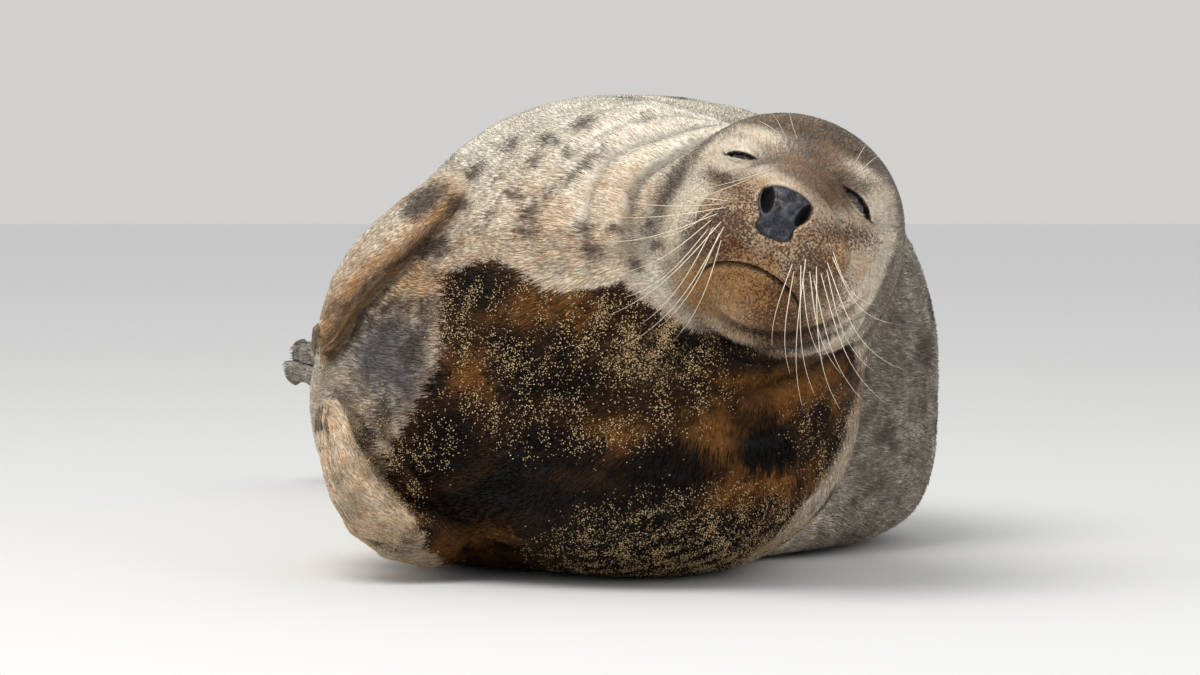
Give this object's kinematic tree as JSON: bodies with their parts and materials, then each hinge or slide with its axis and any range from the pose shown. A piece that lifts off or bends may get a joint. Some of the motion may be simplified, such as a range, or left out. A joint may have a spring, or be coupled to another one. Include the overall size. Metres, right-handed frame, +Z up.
{
  "type": "grey seal",
  "caption": "Life-size still model of an adult grey seal lying on its left side, belly towards the viewer's left, head raised and turned to face the viewer, mouth closed.",
  "frame": {"origin": "the floor point under the middle of the seal's box", "axes": "+Z up from the floor; +Y from the muzzle towards the tail, along the trunk; +X to the viewer's right, towards the seal's back"},
  "size_m": [0.7491, 1.7653, 0.4954],
  "materials": {
    "coat": "short dense fur, pale with grey-brown mottles, dark and wet below",
    "nose_leather": "moist, fine-grained bare skin",
    "eyes": "glossy, very dark brown",
    "horn": "dark horn, slightly worn"
  },
  "bodies": {
    "root": {"head": "coat", "lower_jaw": "coat", "neck": "coat", "chest": "coat", "trunk_front": "coat", "trunk_middle": "coat", "trunk_rear": "coat", "rump": "coat", "tail": "coat", "foreflipper_right": "coat", "foreflipper_left": "coat", "hindflipper_right": "coat", "hindflipper_left": "coat", "nose": "nose_leather", "eye_right": "eyes", "eye_left": "eyes", "claw_foreflipper_right_1": "horn", "claw_foreflipper_right_2": "horn", "claw_foreflipper_right_3": "horn", "claw_foreflipper_right_4": "horn", "claw_foreflipper_right_5": "horn", "claw_foreflipper_left_1": "horn", "claw_foreflipper_left_2": "horn", "claw_foreflipper_left_3": "horn", "claw_foreflipper_left_4": "horn", "claw_foreflipper_left_5": "horn", "claw_hindflipper_right_1": "horn", "claw_hindflipper_right_2": "horn", "claw_hindflipper_right_3": "horn", "claw_hindflipper_right_4": "horn", "claw_hindflipper_right_5": "horn", "claw_hindflipper_left_1": "horn", "claw_hindflipper_left_2": "horn", "claw_hindflipper_left_3": "horn", "claw_hindflipper_left_4": "horn", "claw_hindflipper_left_5": "horn"}
  },
  "joints": []
}
